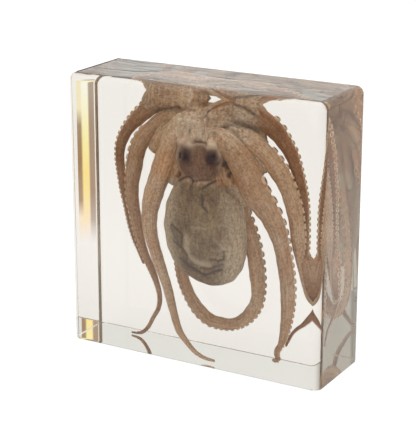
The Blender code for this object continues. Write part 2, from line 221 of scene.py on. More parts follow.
def mark(mesh, name, values):
    """Keeps a number or a vector for each vertex of a mesh, for its material to read."""
    values = np.array(values, dtype=float)
    kind, field = ("FLOAT", "value") if values.ndim == 1 else ("FLOAT_VECTOR", "vector")
    mesh.attributes.new(name, kind, "POINT").data.foreach_set(field, values.ravel())


bm = bmesh.new()
arm_lie = []                 # (distance, place round the arm) of each vertex, in mm
arm_sides = []               # how far each vertex is towards the suckers, from 0 to 1
arm_paleness = []
for seed, name in enumerate(arm_routes):
    stations = arm_stations(name, ring_gap)
    rows = []
    for distance, place, radius, tangent, facing, beside in stations:
        row = []
        for k in range(ARM_SIDES):
            angle = 2 * math.pi * k / ARM_SIDES - math.pi
            reach = radius * arm_section(angle, distance, seed)
            towards, aside = math.cos(angle), math.sin(angle)
            spot = place + reach * (towards * facing + aside * beside)
            row.append(bm.verts.new(spot * MM))
            arm_lie.append(
                (distance + PATTERN_SHIFT * seed, PATTERN_RADIUS * towards, PATTERN_RADIUS * aside))
            arm_sides.append(0.5 + 0.5 * towards)
            arm_paleness.append(arm_pale[name])
        rows.append(row)
    for low, high in zip(rows, rows[1:]):
        for k in range(ARM_SIDES):
            n = (k + 1) % ARM_SIDES
            bm.faces.new((low[k], low[n], high[n], high[k]))
    # Each end closes on a point, this many radii past its last ring.
    for row, station, past in ((rows[0], stations[0], -0.5), (rows[-1], stations[-1], 0.9)):
        distance, place, radius, tangent, facing, beside = station
        tip = bm.verts.new((place + past * radius * tangent) * MM)
        arm_lie.append((distance + PATTERN_SHIFT * seed, 0, 0))
        arm_sides.append(0.5)
        arm_paleness.append(arm_pale[name])
        for k in range(ARM_SIDES):
            bm.faces.new((row[k], row[(k + 1) % ARM_SIDES], tip))
bmesh.ops.recalc_face_normals(bm, faces=bm.faces)
arms_mesh = bpy.data.meshes.new("octopus_arms")
bm.to_mesh(arms_mesh)
bm.free()
arms = bpy.data.objects.new("octopus_arms", arms_mesh)
bpy.context.collection.objects.link(arms)
arms_mesh.shade_smooth()
mark(arms_mesh, "arm_lie", arm_lie)
mark(arms_mesh, "sucker_side", arm_sides)
mark(arms_mesh, "paleness", arm_paleness)


def linear(hex_colour):
    """An sRGB hex colour, such as "#a07f68", as linear red, green, blue and alpha."""
    parts = [int(hex_colour[i:i + 2], 16) / 255 for i in (1, 3, 5)]
    return [c / 12.92 if c <= 0.04045 else ((c + 0.055) / 1.055) ** 2.4 for c in parts] + [1]


def feed(node, *links):
    """Sets a node's inputs. links are (input, what feeds it).

    That is a number, a vector, a hex colour, a socket, or a node for its first output in use.
    """
    for place, value in links:
        if isinstance(value, bpy.types.Node):
            value = next(output for output in value.outputs if output.enabled)
        if isinstance(value, bpy.types.NodeSocket):
            node.id_data.links.new(value, node.inputs[place])
        else:
            node.inputs[place].default_value = linear(value) if isinstance(value, str) else value


def add(tree, kind, links=(), stops=(), **settings):
    """Adds a node to a tree, fed by links. stops are a colour ramp's (position, hex colour).

    A setting is a property of the node, or an input where the node has no such property.
    """
    node = tree.nodes.new("ShaderNode" + kind)
    for name, value in settings.items():
        if hasattr(node, name):
            setattr(node, name, value)
        else:
            feed(node, (name.replace("_", " "), value))
    feed(node, *links)
    if stops:
        elements = node.color_ramp.elements
        elements.remove(elements[1])
        for position, colour in stops[1:]:
            elements.new(position).color = linear(colour)
        elements[0].position, elements[0].color = stops[0][0], linear(stops[0][1])
    return node


# A Mix node's input 0 is how much, and its inputs 6 and 7 are the two colours.
MIXED = {"data_type": "RGBA"}
MULTIPLIED = {"data_type": "RGBA", "blend_type": "MULTIPLY"}


def fresh_material(name, **settings):
    """A new Principled material: its node tree and its shader, whose inputs are the settings."""
    material = bpy.data.materials.new(name)
    material.use_nodes = True
    shader = material.node_tree.nodes["Principled BSDF"]
    feed(shader, *[(setting.replace("_", " "), value) for setting, value in settings.items()])
    return material, material.node_tree, shader


def scale_of(size):
    """The Scale of a pattern whose cells are about this many mm across."""
    return 1 / (size * MM)


# The fine lines along the arms, in mm.
LINE_LENGTH = 11.1
LINE_WIDTH = 0.77
# Painted light: patches where the skin is painted paler and more orange, for light showing
# through the arms and for the brighter light on top of the crown: (place, reach, colour), in mm.
painted_light_spots = [
    ((-20, -9, 110), 14, "#fcbe84"), ((19, -7, 107), 12, "#f2b47a"), ((64, 2, 63), 13, "#fce0c4"),
    ((-3, -7, 133), 17, "#fff6ea"), ((22, -4, 138), 16, "#fff2e0")]
SPOT_CORE = 0.3              # the share of its reach over which a spot is strongest
SPOT_STRENGTH = 0.5          # how far it then takes the skin to its own colour


def brown_skin(tree, place):
    """The colour, the painted light patches and the fine lines of the arms' skin, on the attributes
    arm_lie and paleness.
    """
    lie = add(tree, "Attribute", attribute_name="arm_lie").outputs["Vector"]
    lengthways = add(
        tree, "Mapping", [("Vector", lie)], Scale=(1 / LINE_LENGTH, 1 / LINE_WIDTH, 1 / LINE_WIDTH))
    streaks = add(tree, "TexNoise", [("Vector", lengthways)], Scale=1.0, Detail=6.0, Roughness=0.65)
    patches = add(tree, "TexNoise", [("Vector", place)], Scale=scale_of(14.3), Detail=3.0)
    paleness = add(tree, "Attribute", attribute_name="paleness").outputs["Fac"]
    browner = add(
        tree, "ValToRGB", [("Fac", patches)],
        [(0.3, "#9c693f"), (0.5, "#ad7b51"), (0.7, "#be8f67")])
    paler = add(
        tree, "ValToRGB", [("Fac", patches)],
        [(0.3, "#f0c8a0"), (0.5, "#f6d6b4"), (0.7, "#fae4c8")])
    tone = add(tree, "Mix", [(0, paleness), (6, browner), (7, paler)], **MIXED)
    # Each spot paints light: it takes the skin towards its own paler, more orange colour.
    for spot, reach, colour in painted_light_spots:
        gap = add(
            tree, "VectorMath", [(0, place), (1, Vector(spot) * MM)], operation="DISTANCE")
        near = add(
            tree, "MapRange", [("Value", gap)], From_Min=reach * MM,
            From_Max=SPOT_CORE * reach * MM, To_Max=SPOT_STRENGTH)
        tone = add(tree, "Mix", [(0, near), (6, tone), (7, colour)], **MIXED)
    tinge = add(
        tree, "ValToRGB", [("Fac", streaks)],
        [(0.36, "#c9a68c"), (0.5, "#ecdccb"), (0.62, "#ffffff")])
    tone = add(tree, "Mix", [(0, 0.6), (6, tone), (7, tinge)], **MULTIPLIED)
    return tone, streaks


# Octopus skin fixed in formalin and sealed wet in resin: satin, brown with darker freckles where
# the pigment sacs are, paler and more orange towards the suckers, with fine lines along the arm.
# The freckles and the mottle are drawn coarser than real ones, so that they show.
arm_skin, tree, shader = fresh_material(
    "formalin-fixed octopus skin, arms", Roughness=0.48, IOR=1.4, Subsurface_Weight=0.12,
    Subsurface_Radius=(2.2 * MM, 1.1 * MM, 0.7 * MM), Subsurface_Scale=1.0)
place = add(tree, "TexCoord").outputs["Object"]
base, streaks = brown_skin(tree, place)
mottle = add(
    tree, "TexNoise", [("Vector", place)], Scale=scale_of(1.39), Detail=4.0, Roughness=0.65)
freckles = add(tree, "TexVoronoi", [("Vector", place)], Scale=scale_of(1.613))
sucker_side = add(tree, "Attribute", attribute_name="sucker_side").outputs["Fac"]
side_amount = add(tree, "MapRange", [("Value", sucker_side)], From_Min=0.6, From_Max=0.95)
paleness = add(tree, "Attribute", attribute_name="paleness").outputs["Fac"]
sucker_base = add(tree, "Mix", [(0, paleness), (6, "#cc986a"), (7, "#f4cfa8")], **MIXED)
base = add(tree, "Mix", [(0, side_amount), (6, base), (7, sucker_base)], **MIXED)
speckle = add(tree, "ValToRGB", [("Fac", mottle)], [(0.4, "#9c806a"), (0.54, "#ffffff")])
base = add(tree, "Mix", [(0, 0.4), (6, base), (7, speckle)], **MULTIPLIED)
dots = add(tree, "ValToRGB", [("Fac", freckles)], [(0.14, "#8a6c54"), (0.3, "#ffffff")])
base = add(tree, "Mix", [(0, 0.15), (6, base), (7, dots)], **MULTIPLIED)
lines = add(tree, "Bump", [("Height", streaks)], Strength=0.5, Distance=0.9 * MM)
grain = add(tree, "Bump", [("Height", mottle), ("Normal", lines)], Strength=0.3, Distance=0.35 * MM)
feed(shader, ("Base Color", base), ("Normal", grain))
arms_mesh.materials.append(arm_skin)
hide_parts("octopus")
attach(arms, "root")


# The suckers are small muscular cups with a thick rim, in two staggered rows on each arm.
# One is shaped from a cylinder and copied along the arms, smaller towards the tips.
SUCKER_SIDES = 10
SUCKER_ROW = math.radians(40)  # how far each row is from the middle of the sucker side
SUCKER_LEAST = 0.8           # the arm's radius in mm below which no sucker shows
SUCKERS_FROM = 37.0          # mm along the arm to the first sucker clear of the web
SUCKER_SIZE = 0.47           # a sucker's radius over the pitch of its row
SUCKER_SEAT = 0.97           # its height over the arm's radius, before it is sunk in
SUCKER_SUNK = 0.3            # by this share of its own radius


def sucker_pitch(radius):
    """Distance from one sucker to the next in the same row, in mm."""
    return 0.4 + 0.72 * radius


def start(primitive, **settings):
    """Adds a primitive with nothing else selected."""
    bpy.ops.object.select_all(action="DESELECT")
    primitive(**settings)
    return bpy.context.object


def join(pieces, name):
    """Makes one piece of several, named and with its place in its mesh."""
    bpy.ops.object.select_all(action="DESELECT")
    for piece in pieces:
        piece.select_set(True)
    bpy.context.view_layer.objects.active = pieces[0]
    bpy.ops.object.join()
    bpy.ops.object.transform_apply(location=True, rotation=True, scale=True)
    pieces[0].name = name
    return pieces[0]


# The cup is drawn with a radius of about 1, and each copy is scaled to its own sucker.
cup = start(
    bpy.ops.mesh.primitive_cylinder_add, vertices=SUCKER_SIDES, radius=0.92, depth=0.8)
bpy.ops.object.mode_set(mode="EDIT")
bpy.ops.mesh.select_mode(type="FACE")
bpy.ops.mesh.select_all(action="DESELECT")
cup_shape = bmesh.from_edit_mesh(cup.data)
for face in cup_shape.faces:
    face.select = face.normal.z > 0.9
bmesh.update_edit_mesh(cup.data)
for rise, spread in ((0.2, 1.06), (0.2, 0.92), (0.1, 0.78)):
    bpy.ops.mesh.extrude_region_move(TRANSFORM_OT_translate={"value": (0, 0, rise)})
    bpy.ops.transform.resize(value=(spread, spread, 1))
bpy.ops.mesh.inset(thickness=0.16)
bpy.ops.mesh.extrude_region_move(TRANSFORM_OT_translate={"value": (0, 0, -0.4)})
bpy.ops.transform.resize(value=(0.6, 0.6, 1))
bpy.ops.object.mode_set(mode="OBJECT")
cup.data.shade_smooth()
cup_points = np.array([vertex.co for vertex in cup.data.vertices])
in_bowl = (cup_points[:, 2] > 0.4) & (np.hypot(cup_points[:, 0], cup_points[:, 1]) < 0.6)
mark(cup.data, "rim", np.where(in_bowl, 0.0, 1.0))

cups = []
for name in arm_routes:
    stations = arm_stations(name, lambda radius: 0.5 * sucker_pitch(radius))
    for i, (distance, place, radius, tangent, facing, beside) in enumerate(stations[:-1]):
        if distance < SUCKERS_FROM or radius < SUCKER_LEAST:
            continue
        row = SUCKER_ROW if i % 2 == 0 else -SUCKER_ROW
        outward = math.cos(row) * facing + math.sin(row) * beside
        size = SUCKER_SIZE * sucker_pitch(radius)
        height = SUCKER_SEAT * radius - SUCKER_SUNK * size
        turned = Matrix((tangent, outward.cross(tangent), outward)).transposed().to_4x4()
        seat = Matrix.Translation((place + outward * height) * MM)
        another = cup.copy()
        another.data = cup.data.copy()
        another.matrix_world = seat @ turned @ Matrix.Scale(size * MM, 4)
        bpy.context.collection.objects.link(another)
        cups.append(another)
suckers = join(cups, "octopus_suckers")
bpy.data.objects.remove(cup)

# Sucker muscle holds less pigment than the skin: beige and paler on the rim, with painted shade in
# the bowl.
sucker_skin, tree, shader = fresh_material(
    "formalin-fixed octopus sucker", Roughness=0.42, IOR=1.4, Subsurface_Weight=0.15,
    Subsurface_Radius=(1.6 * MM, 0.9 * MM, 0.5 * MM), Subsurface_Scale=1.0)
place = add(tree, "TexCoord").outputs["Object"]
rim = add(tree, "Attribute", attribute_name="rim").outputs["Fac"]
cloud = add(tree, "TexNoise", [("Vector", place)], Scale=scale_of(7.7), Detail=3.0)
wall = add(tree, "ValToRGB", [("Fac", cloud)], [(0.35, "#dcb48e"), (0.65, "#f6e2c6")])
# The bowl is painted darker: painted shade.
base = add(tree, "Mix", [(0, rim), (6, "#b58a62"), (7, wall)], **MIXED)
fine = add(tree, "TexNoise", [("Vector", place)], Scale=scale_of(1.11), Detail=2.0)
bump = add(tree, "Bump", [("Height", fine)], Strength=0.3, Distance=0.2 * MM)
feed(shader, ("Base Color", base), ("Normal", bump))
suckers.data.materials.append(sucker_skin)
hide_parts("octopus")
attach(suckers, "root")


# The body is the egg-shaped mantle, the narrower head with its raised eyes, and the web of skin
# that joins the arms round the mouth. It is one skin, so its shapes are fused and then smoothed.
mantle_rings = [
    # z, half width, half depth, middle x, middle y, in mm
    (43.9, 4, 3, 4.6, -2), (45.6, 9.8, 6.5, 4.4, -2), (48.7, 15.8, 10.2, 3.7, -2),
    (53.8, 20.8, 13.8, 2.6, -2), (60.5, 24.4, 16.2, 2, -2), (68.2, 26, 17.6, 1.4, -2),
    (76.9, 26.4, 18, 1.0, -2), (86.1, 25.3, 17.4, 0.8, -2), (93.8, 23, 16, 1.2, -2),
    (99.9, 19.4, 14, 1.2, -2), (103.5, 16.2, 12, 0.6, -2), (106.1, 13.4, 10.6, 0, -2.4),
    (109.6, 12.9, 11.4, -0.6, -2.6), (114.8, 13.6, 12, -1, -2.8), (119.9, 13.2, 11.8, -1.2, -2.6),
    (125, 11.6, 10.6, -1.1, -2), (130.1, 10, 9.4, -0.6, -1), (136.3, 9, 8.5, 0, 0),
]
low_z, low_half, low_depth, low_x, low_y = mantle_rings[0]
centre = Vector((low_x, low_y, low_z)) * MM
body = start(
    bpy.ops.mesh.primitive_circle_add, vertices=32, radius=low_half * MM, location=centre)
bpy.ops.object.transform_apply(location=True)
bpy.ops.object.mode_set(mode="EDIT")
bpy.ops.mesh.select_mode(type="VERT")
bpy.ops.mesh.select_all(action="SELECT")
bpy.ops.transform.resize(value=(1, low_depth / low_half, 1), center_override=centre)
for (z0, half0, depth0, x0, y0), (z, half, depth, x, y) in zip(mantle_rings, mantle_rings[1:]):
    step = Vector((x - x0, y - y0, z - z0)) * MM
    centre = Vector((x, y, z)) * MM
    bpy.ops.mesh.extrude_region_move(TRANSFORM_OT_translate={"value": step})
    bpy.ops.transform.resize(
        value=(half / half0, depth / depth0, 1), center_override=centre)
bpy.ops.mesh.select_all(action="SELECT")
bpy.ops.mesh.fill_holes(sides=0)
bpy.ops.mesh.select_all(action="SELECT")
bpy.ops.mesh.normals_make_consistent(inside=False)
bpy.ops.object.mode_set(mode="OBJECT")
rounding = body.modifiers.new("Rounding", "SUBSURF")
rounding.levels = rounding.render_levels = 2
bpy.ops.object.modifier_apply(modifier=rounding.name)


def soft_tube(points):
    """A round tube through given points, each (x, y, z, radius) in mm."""
    tube = start(bpy.ops.curve.primitive_bezier_curve_add)
    spline = tube.data.splines[0]
    spline.bezier_points.add(len(points) - 2)
    for knot, (x, y, z, radius) in zip(spline.bezier_points, points):
        knot.co = Vector((x, y, z)) * MM
        knot.handle_left_type = knot.handle_right_type = "AUTO"
        knot.radius = radius
    tube.data.dimensions = "3D"
    tube.data.bevel_depth = MM
    tube.data.bevel_resolution = 4
    tube.data.use_fill_caps = True
    tube.data.resolution_u = 8
    bpy.ops.object.convert(target="MESH")
    return bpy.context.object


web_routes = [
    [(-7, 3, 144.5, 8.5), (-19, 4, 146, 9.5), (-32, 5.5, 147, 8), (-39.5, 6, 141.5, 5.2)],
    [(-14, 1, 132, 7.6), (-1, 2, 137.5, 8.5), (8, 2, 138, 8.8), (17, 1, 134.5, 8)],
    [(18, 3, 145.3, 8.8), (27, 4, 145.2, 8.7), (34, 4, 141.5, 6.4), (39.5, 4, 137.5, 4.6)],
    [(-8, 0, 133, 8), (-21, 0, 130, 7), (-30, 0, 122.2, 4.8), (-34, 0, 116.8, 3.2)],
    [(-6, -2, 129, 8), (-14, -3, 118.8, 6), (-19, -2, 107.5, 4), (-21, -1, 99.4, 2.4)],
    [(8, -1, 133.3, 8), (24, 0, 133.6, 7), (33, 1, 132, 5), (38, 1, 129, 3)],
    [(10, -3, 127, 8), (24, -3, 121.5, 7), (34, -3, 117.5, 5), (38, -3, 113, 3)],
    [(8, 0, 125, 8), (14, 0, 112.8, 7), (20, 1, 101.5, 5), (24, 2, 92, 3)],
    [(-10, 6, 141, 7.5), (4, 8, 141.2, 6.6), (15, 7, 142.6, 7.2)],
    [(4, 5, 129, 8), (-4, 8, 118.9, 6), (-4, 9, 108.7, 3.5)],
    [(-14, 4, 149.5, 4.6), (-1.5, 4, 151.2, 3.8), (3, 4, 154, 2), (8.5, 4, 155.2, 1.5),
     (18, 4, 151.8, 3.8)],
]
fused = [body]
for route in web_routes:
    fused.append(soft_tube(route))
# The root of each arm, thinner at its end so that it ends inside the arm.
for side, turn, route in arm_routes.values():
    x, y, z, radius = route[3]
    fused.append(soft_tube(route[:3] + [(x, y, z, 0.7 * radius)]))

# The eyelids are low rings of skin and the brows are two blunt horns above them. The funnel, the
# short spout that the animal breathes out through, lies on the far side, below the head.
eye_places = [Vector((-9.4, -9.6, 118.6)), Vector((7.2, -9.6, 120.3))]


def eye_outward(eye):
    """Where an eye looks: to its own side, towards the animal's back and a little upwards."""
    return Vector((0.62 if eye.x > 0 else -0.62, -0.78, 0.08)).normalized()


for eye in eye_places:
    outward = eye_outward(eye)
    bulge = start(
        bpy.ops.mesh.primitive_uv_sphere_add, segments=24, ring_count=16, radius=4.9 * MM,
        location=(eye - outward * 1.2) * MM)
    bulge.scale = (1, 1, 1.3)
    lid = start(
        bpy.ops.mesh.primitive_torus_add, major_segments=28, minor_segments=10,
        major_radius=3.7 * MM, minor_radius=1.0 * MM, location=(eye + outward * 2.7) * MM,
        rotation=outward.to_track_quat("Z", "Y").to_euler())
    brow = start(
        bpy.ops.mesh.primitive_uv_sphere_add, segments=20, ring_count=12, radius=3.5 * MM,
        location=(eye + Vector((0.8 if eye.x > 0 else -0.6, -1.2, 6.6))) * MM)
    fused += [bulge, lid, brow]
fused.append(soft_tube([(-8, 7, 99.4, 5.5), (-10, 12, 106.5, 4), (-11, 15, 112.7, 3.1)]))
body = join(fused, "octopus_body")
fuse = body.modifiers.new("Fuse", "REMESH")
fuse.mode = "VOXEL"
fuse.voxel_size = 0.62 * MM
fuse.use_smooth_shade = True
bpy.ops.object.modifier_apply(modifier=fuse.name)
relax = body.modifiers.new("Relax", "SMOOTH")
relax.factor = 0.5
relax.iterations = 9
bpy.ops.object.modifier_apply(modifier=relax.name)

# Folds set in the skin when it was fixed, as (x, z) routes in mm on the side of the animal's back.
# A fold is (height in mm, width in mm, route): the lower ones are creases and the higher ridges.
skin_folds = [
    (-0.8, 0.9, [(-16.1, 78.3), (-12.5, 76.9), (-8.2, 74.3), (-8.6, 72.3), (-8.9, 68.3)]),
    (-0.6, 0.8, [(-16.5, 76.1), (-13.6, 71.4), (-11.3, 69.1)]),
    (0.8, 1.8, [(-4.9, 73.3), (-5.3, 66.8), (-3.5, 62.4), (1.5, 59.4), (8.6, 59.2)]),
    (-0.7, 1.0, [(-14.4, 68.7), (-8.2, 65.8), (-5.4, 62.4)]),
    (-0.9, 1.0, [(-10.8, 59.3), (-5, 55.6), (-0.7, 53), (4.3, 52)]),
    (-0.6, 0.8, [(-6.8, 58.8), (-2.5, 55.6), (1.8, 53.3)]),
    (-0.8, 0.9, [(4.3, 51.3), (10, 54.2), (15.6, 56.6)]),
    (-0.6, 0.9, [(3.2, 56.2), (9.6, 56.7), (16, 60)]),
    (-0.7, 0.8, [(9.6, 62.5), (14.6, 62.1), (17.3, 62.9), (17.7, 68)]),
    (0.5, 0.9, [(12.1, 75), (14.9, 72.3), (18.4, 70), (21.1, 69.8)]),
    (0.5, 0.9, [(10.7, 68.1), (14.2, 68.2), (17.7, 69.7)]),
    (0.4, 0.8, [(17.7, 74), (19.4, 71.7), (21.1, 69.8)]),
    (0.3, 0.9, [(17.7, 66.6), (25.3, 68.5), (29.4, 69.6)]),
    (0.3, 0.9, [(-1.8, 80.2), (6.6, 80.1), (15, 83), (21.9, 83.4)]),
    (-0.7, 0.9, [(3.7, 98.1), (4.7, 92.5), (7.9, 89.8)]),
    (-0.9, 0.8, [(-14.5, 103.5), (-8.7, 106.7), (-4.9, 107.2), (-3.3, 105.6)]),
    (-0.8, 0.8, [(3.9, 102.6), (7, 104.8), (10.1, 106.5)]),
    (-0.6, 0.8, [(-4.4, 101), (-2.8, 105.1), (2, 106.5), (8.2, 107.4)]),
    (0.9, 0.9, [(-3.7, 124.8), (-1.2, 126), (1, 126.3), (5.1, 125.9)]),
    (-0.6, 0.6, [(-4.2, 126.2), (-1.2, 127.6), (1.4, 127.9), (5.6, 127.3)]),
    (0.8, 1.0, [(6.4, 124.4), (8.2, 127.4), (11, 126.7), (12.4, 123.6), (12.8, 119.5),
                (11.9, 114.7)]),
    (0.8, 1.0, [(-11.2, 123.5), (-13.6, 120.4), (-14.2, 115.1), (-13.6, 109.5)]),
    (-0.5, 0.7, [(14.2, 121), (13.8, 114.8), (13.6, 109.7)]),
    (0.5, 0.9, [(-9.8, 142.3), (-7.5, 130), (-9.1, 126.2)]),
    (0.5, 0.8, [(-6.6, 145.5), (-5.1, 130.3)]),
    (0.5, 0.8, [(-13, 136.4), (-11.1, 126.7)]),
    (0.4, 0.8, [(-1.9, 133.5), (-3.9, 127.5)]),
    (0.5, 0.9, [(2, 143), (-0.3, 130.8)]),
    (0.5, 0.9, [(-17.8, 140), (-13.8, 132), (-12.3, 125.2)]),
    (0.6, 0.9, [(12.9, 123), (13.6, 115), (15.4, 108.4), (17.8, 104.9)]),
    (0.5, 0.9, [(11.2, 114.8), (11.9, 110.5), (14, 107.6)]),
    (-0.5, 1.2, [(9, 133.7), (15, 137.8), (20, 139.5), (30, 138.5), (37, 136.6), (42, 134)]),
    (-0.6, 0.9, [(0, 138), (3, 144), (9, 148.4), (18, 150.5), (26.5, 148.7), (34, 144)]),
    (-0.5, 1.2, [(-30, 139.6), (-22, 142.8), (-14.4, 144.8)]),
    (0.5, 0.9, [(-2, 145), (-6.5, 138.8), (-8.4, 130), (-10.4, 125.3)]),
    (0.5, 0.9, [(-14, 140.7), (-12.3, 133.6), (-13, 126.7)]),
    (-1.1, 1.4, [(16, 124.2), (17.9, 120), (14.8, 116), (19.2, 113.3), (17.3, 109.7)]),
]


def distance_to_route(points, route):
    """The distance of each (x, z) point from a route of straight runs."""
    nearest = np.full(len(points), np.inf)
    for first, last in zip(route, route[1:]):
        first, last = np.array(first), np.array(last)
        run = last - first
        share = np.clip((points - first) @ run / (run @ run), 0, 1)
        gap = np.linalg.norm(points - first - share[:, None] * run, axis=1)
        nearest = np.minimum(nearest, gap)
    return nearest


def read_vectors(collection, name):
    """One vector of each item in a mesh's collection, as the rows of an array."""
    values = np.zeros(len(collection) * 3)
    collection.foreach_get(name, values)
    return values.reshape(-1, 3)


def step_up(values, low, high):
    """0 below low, 1 above high, and smooth between them."""
    t = np.clip((values - low) / (high - low), 0, 1)
    return t * t * (3 - 2 * t)


skin_points = read_vectors(body.data.vertices, "co") / MM
skin_normals = read_vectors(body.data.vertex_normals, "vector")
x, y, z = skin_points.T


def oval(middle_x, middle_z, half_width, half_height):
    """How far each vertex is from the middle of an oval seen from the front, 1 on its rim."""
    return np.hypot((x - middle_x) / half_width, (z - middle_z) / half_height)


# Each zone of the skin is a share from 0 to 1 at each vertex, and step_up says where it fades, in
# mm or as a share of a width or a slope. The mantle is paler on its flanks and its far side, partly
# its own paler skin there and partly a painted rim of light from behind.
faces_front = step_up(-skin_normals[:, 1], 0.0, 0.4)
on_mantle = 1 - step_up(z, 101.5, 106.5)
on_head = step_up(z, 104.5, 108.5) * (1 - step_up(oval(-1, 117, 15.5, 12), 0.85, 1.1))
on_head *= 1 - step_up(y, 4, 9)
above_head = step_up(z, 124, 129) * (1 - step_up(np.abs(x + 3), 12, 19)) * faces_front
flank_and_rim_light = step_up(np.abs(x - 1) / 26 + 0.25 * np.abs(z - 78) / 35, 0.45, 1.05)
flank_and_rim_light = np.maximum(flank_and_rim_light, step_up(skin_normals[:, 1], -0.55, 0.1))

# lift is how far the skin rises in mm. The fold tone is painted light: -1 is painted shade in a deep
# crease and 1 a painted highlight on a high ridge.
lift = np.zeros(len(skin_points))
painted_fold_shading = np.zeros(len(skin_points))
for height, width, route in skin_folds:
    nearness = np.exp(-(distance_to_route(skin_points[:, [0, 2]], route) / width) ** 2)
    lift += height * nearness * faces_front
    painted_fold_shading += np.sign(height) * min(1.25 * abs(height), 1.0) * nearness * faces_front

# Fine ribs fan out over the skin above the head, with painted shade between them and a painted
# highlight along each, and the mantle is gently lumpy.
RIBS_PER_RADIAN = 60
RIB_HEIGHT = 0.16
RIB_SHADING = 0.18
LUMP_HEIGHT = 0.35
rib_angle = np.arctan2(x + 1, z - 90)
ribs = np.sin(RIBS_PER_RADIAN * rib_angle + 1.6 * np.sin(z * 0.35) + 0.5 * np.sin(y * 0.9))
lift += RIB_HEIGHT * ribs * above_head
painted_fold_shading += RIB_SHADING * ribs * above_head
lumps = np.sin(x * 0.52 + 1.3) * np.sin(z * 0.47 + 0.4) * np.sin(y * 0.61 + 2.1)
lift += LUMP_HEIGHT * lumps * on_mantle

# The skin is dark over each eye, and the brow above it has a painted highlight.
# The stains are (aside, up, half width, half height) in mm, from the middle of each eye.
eye_stains = [(2.4, 0.0, 3.3, 5.2), (1.1, -0.8, 3.5, 4.8)]
BROW_ASIDE, BROW_UP = 0.6, 7.4  # mm from the middle of the stain to the brow's
BROW_SIZE = (3.2, 2.6)
eye_tone = np.zeros(len(skin_points))
brow_highlight = np.zeros(len(skin_points))
for eye, (aside, up, *stain_size) in zip(eye_places, eye_stains):
    stain_x, stain_z = eye.x + aside, eye.z + up
    eye_tone += np.exp(-oval(stain_x, stain_z, *stain_size) ** 2.6) * faces_front
    off_brow = oval(stain_x + BROW_ASIDE, stain_z + BROW_UP, *BROW_SIZE)
    brow_highlight += np.exp(-off_brow ** 2) * faces_front

# The lines of each arm's skin run on over the web to the head, and where two arms meet on the web
# there is a valley between them, with painted shade in it.
WEB_PATTERN = 0.8            # mm in the skin's pattern for each mm across the web
VALLEY_WIDTH = 1.1
VALLEY_DEPTH = 0.7
VALLEY_SHADING = 0.34
WEB_BROWNEST = 0.68          # the web's paleness by the brownest arm, and by the palest
WEB_PALEST = 0.93
# The web is painted paler still above the head, as painted light falling on the crown's top.
HEAD_TOP_LIGHT = 0.5         # how much paler still the web is above the head
body_lie = np.zeros((len(skin_points), 3))
body_paleness = np.zeros(len(skin_points))
nearest = np.full(len(skin_points), np.inf)
second = np.full(len(skin_points), np.inf)
for seed, name in enumerate(arm_routes):
    stations = arm_stations(name, lambda radius: 1.0)
    arm_middles = KDTree(len(stations))
    for i, station in enumerate(stations):
        arm_middles.insert(station[1], i)
    arm_middles.balance()
    for i, point in enumerate(skin_points):
        picked, gap = arm_middles.find(point)[1:]
        distance, middle, radius, tangent, facing, beside = stations[picked]
        gap -= radius
        if gap < nearest[i]:
            off = WEB_PATTERN * (Vector(point) - middle)
            body_lie[i] = distance + PATTERN_SHIFT * seed, off.dot(facing), off.dot(beside)
            body_paleness[i] = WEB_BROWNEST + (WEB_PALEST - WEB_BROWNEST) * arm_pale[name]
            nearest[i], gap = gap, nearest[i]
        second[i] = min(second[i], gap)
# Painted light on top of the crown.
body_paleness += HEAD_TOP_LIGHT * above_head
valley = np.exp(-((second - nearest) / VALLEY_WIDTH) ** 2) * (1 - step_up(nearest, 1, 4))
valley *= step_up(z, 96, 104) * (1 - on_head) * (1 - on_mantle)
lift -= VALLEY_DEPTH * valley
painted_fold_shading -= VALLEY_SHADING * valley

skin_points += skin_normals * lift[:, None]
body.data.vertices.foreach_set("co", (skin_points * MM).ravel())
mark(body.data, "arm_lie", body_lie)
for name, values in (
        ("paleness", body_paleness),
        ("mantle", on_mantle), ("head", on_head), ("crease", painted_fold_shading),
        ("eye", eye_tone), ("brow", brow_highlight), ("flank_and_rim_light", flank_and_rim_light)):
    mark(body.data, name, np.clip(values, -1, 1))
body.data.update()

# The same fixed skin on the body: grey-brown and blotched on the mantle, purple-brown on the head
# and as brown as the arms on the web, with painted shade in the creases and valleys, painted
# highlights where a fold stands up and on the brows, and a mantle paler on its flanks, partly by a
# painted rim of light.
body_skin, tree, shader = fresh_material(
    "formalin-fixed octopus skin, body", Roughness=0.5, IOR=1.4, Subsurface_Weight=0.12,
    Subsurface_Radius=(2.2 * MM, 1.2 * MM, 0.8 * MM), Subsurface_Scale=1.0)
place = add(tree, "TexCoord").outputs["Object"]
tones = {
    name: add(tree, "Attribute", attribute_name=name).outputs["Fac"]
    for name in ("mantle", "head", "crease", "eye", "brow", "flank_and_rim_light")}
patches = add(
    tree, "TexNoise", [("Vector", place)], Scale=scale_of(11.76), Detail=4.0, Roughness=0.6)
mottle = add(tree, "TexNoise", [("Vector", place)], Scale=scale_of(1.47), Detail=5.0, Roughness=0.7)
HAIR_WIDTH = 1.25            # mm, wider than on the real skin so that the lines show
HAIR_LENGTH = 7.8
upright = add(tree, "Mapping", [("Vector", place)], Scale=(1, 1, HAIR_WIDTH / HAIR_LENGTH))
hairlines = add(tree, "TexNoise", [("Vector", upright)], Scale=scale_of(HAIR_WIDTH), Detail=3.0)
net = add(
    tree, "TexVoronoi", [("Vector", place)], feature="DISTANCE_TO_EDGE", Scale=scale_of(2.326))
web, streaks = brown_skin(tree, place)
dorsal = add(
    tree, "ValToRGB", [("Fac", patches)], [(0.34, "#7e6242"), (0.5, "#9d815d"), (0.66, "#b89c76")])
